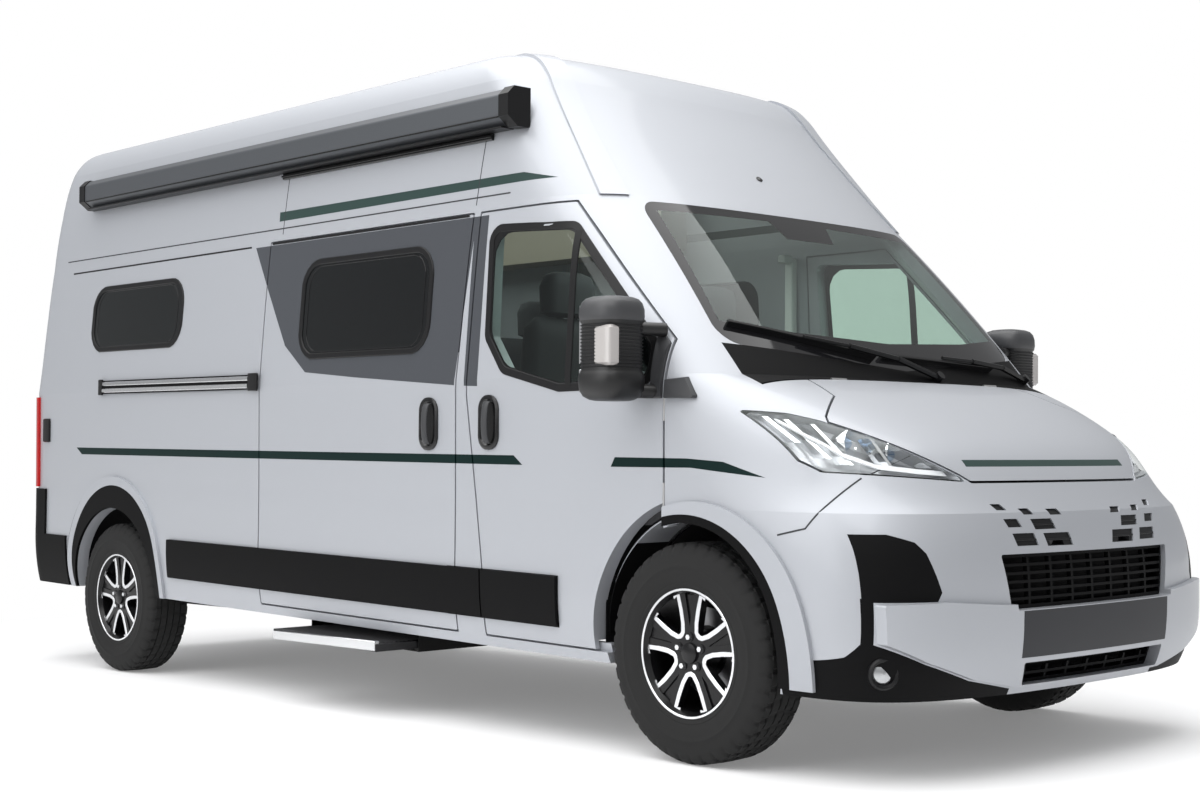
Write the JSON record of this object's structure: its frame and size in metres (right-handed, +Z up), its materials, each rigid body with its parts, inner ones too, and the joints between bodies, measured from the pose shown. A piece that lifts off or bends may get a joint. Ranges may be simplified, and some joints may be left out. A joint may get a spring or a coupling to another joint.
{
  "type": "camper van",
  "caption": "Long-wheelbase panel van turned into a camper: moulded high roof, side awning case, sliding door with pull-out step, rear doors, cab with mirrors and fitted living space",
  "frame": {"origin": "on the ground under the middle of the overall length and width", "axes": "X to the vehicle's left, Y rearwards, Z up; the right side is -X and the nose points to -Y; the body sits 1.42 degrees nose down on level wheels"},
  "size_m": [2.524, 6.0018, 2.7514],
  "materials": {
    "body_paint": "metallic paint under clear lacquer",
    "cab_glass": "clear, slightly green",
    "tinted_glass": "dark tint, gloss",
    "black_trim": "fine grain",
    "lamp_cover": "clear moulded cover",
    "awning_paint": "satin powder coat",
    "chassis_steel": "black underbody paint",
    "wheel_alloy": "black paint with turned faces",
    "tyre_rubber": "matt rubber",
    "cabin_plastic": "grained",
    "seat_fabric": "woven cloth",
    "furniture_wood": "light veneer",
    "tank_plastic": "plain",
    "step_metal": "ribbed, dark",
    "hinge_steel": "zinc plated"
  },
  "bodies": {
    "root": {"awning_case": "awning_paint", "cabin_furniture": "furniture_wood", "dashboard": "cabin_plastic", "engine_block": "chassis_steel", "floor_and_frame": "chassis_steel", "front_bumper": "body_paint", "front_subframe": "chassis_steel", "front_wings": "body_paint", "grille": "black_trim", "high_roof": "body_paint", "hinge_pins": "hinge_steel", "lamps": "lamp_cover", "rear_axle": "chassis_steel", "rear_bumper": "black_trim", "seat_cushions": "seat_fabric", "side_mouldings": "black_trim", "side_panel_left": "body_paint", "side_panel_right": "body_paint", "side_windows": "tinted_glass", "sliding_door": "body_paint", "underfloor_units": "tank_plastic", "windscreen": "cab_glass", "windscreen_frame": "body_paint", "wiper_cowl": "black_trim"},
    "bonnet": {"bonnet": "body_paint"},
    "cab_door_left": {"cab_door_left": "body_paint", "cab_door_glass_left": "cab_glass", "mirror_left": "black_trim"},
    "rear_door_left": {"rear_door_left": "body_paint", "rear_glass_left": "tinted_glass"},
    "knuckle_left": {"knuckle_left": "chassis_steel"},
    "wheel_front_left": {"tyre_front_left": "tyre_rubber", "rim_front_left": "wheel_alloy"},
    "wheel_rear_left": {"tyre_rear_left": "tyre_rubber", "rim_rear_left": "wheel_alloy"},
    "cab_door_right": {"cab_door_right": "body_paint", "cab_door_glass_right": "cab_glass", "mirror_right": "black_trim"},
    "rear_door_right": {"rear_door_right": "body_paint", "rear_glass_right": "tinted_glass"},
    "knuckle_right": {"knuckle_right": "chassis_steel"},
    "wheel_front_right": {"tyre_front_right": "tyre_rubber", "rim_front_right": "wheel_alloy"},
    "wheel_rear_right": {"tyre_rear_right": "tyre_rubber", "rim_rear_right": "wheel_alloy"},
    "step_tread": {"step_tread": "step_metal"}
  },
  "joints": [
    {"name": "cab_door_right_swing", "type": "hinge", "parent": "root", "child": "cab_door_right", "pos_m": [-1.0199, -1.96881, 1.00234], "axis": [0, -0.0248, 0.9997], "range_deg": [0, 65]},
    {"name": "cab_door_left_swing", "type": "hinge", "parent": "root", "child": "cab_door_left", "pos_m": [1.0199, -1.96881, 1.00234], "axis": [0, 0.0248, -0.9997], "range_deg": [0, 65]},
    {"name": "rear_door_right_swing", "type": "hinge", "parent": "root", "child": "rear_door_right", "pos_m": [-0.873, 2.93468, 1.1239], "axis": [0, -0.0248, 0.9997], "range_deg": [0, 180]},
    {"name": "rear_door_left_swing", "type": "hinge", "parent": "root", "child": "rear_door_left", "pos_m": [0.873, 2.93468, 1.1239], "axis": [0, 0.0248, -0.9997], "range_deg": [0, 180]},
    {"name": "bonnet_lift", "type": "hinge", "parent": "root", "child": "bonnet", "pos_m": [0, -2.2632, 1.29677], "axis": [-1, 0, 0], "range_deg": [0, 50]},
    {"name": "step_slide", "type": "slide", "parent": "root", "child": "step_tread", "axis": [-1, 0, 0], "range_m": [0, 0.25]},
    {"name": "steer_left", "type": "hinge", "parent": "root", "child": "knuckle_left", "pos_m": [0.823, -2.051, 0.372], "axis": [0, 0, 1], "range_deg": [-32, 32]},
    {"name": "spin_front_left", "type": "hinge", "parent": "knuckle_left", "child": "wheel_front_left", "pos_m": [0.905, -2.051, 0.372], "axis": [1, 0, 0], "continuous": true},
    {"name": "spin_rear_left", "type": "hinge", "parent": "root", "child": "wheel_rear_left", "pos_m": [0.895, 1.984, 0.372], "axis": [1, 0, 0], "continuous": true},
    {"name": "steer_right", "type": "hinge", "parent": "root", "child": "knuckle_right", "pos_m": [-0.823, -2.051, 0.372], "axis": [0, 0, 1], "range_deg": [-32, 32]},
    {"name": "spin_front_right", "type": "hinge", "parent": "knuckle_right", "child": "wheel_front_right", "pos_m": [-0.905, -2.051, 0.372], "axis": [1, 0, 0], "continuous": true},
    {"name": "spin_rear_right", "type": "hinge", "parent": "root", "child": "wheel_rear_right", "pos_m": [-0.895, 1.984, 0.372], "axis": [1, 0, 0], "continuous": true}
  ],
  "couplings": [
    {"joint": "steer_right", "follows": "steer_left", "ratio": 1}
  ]
}
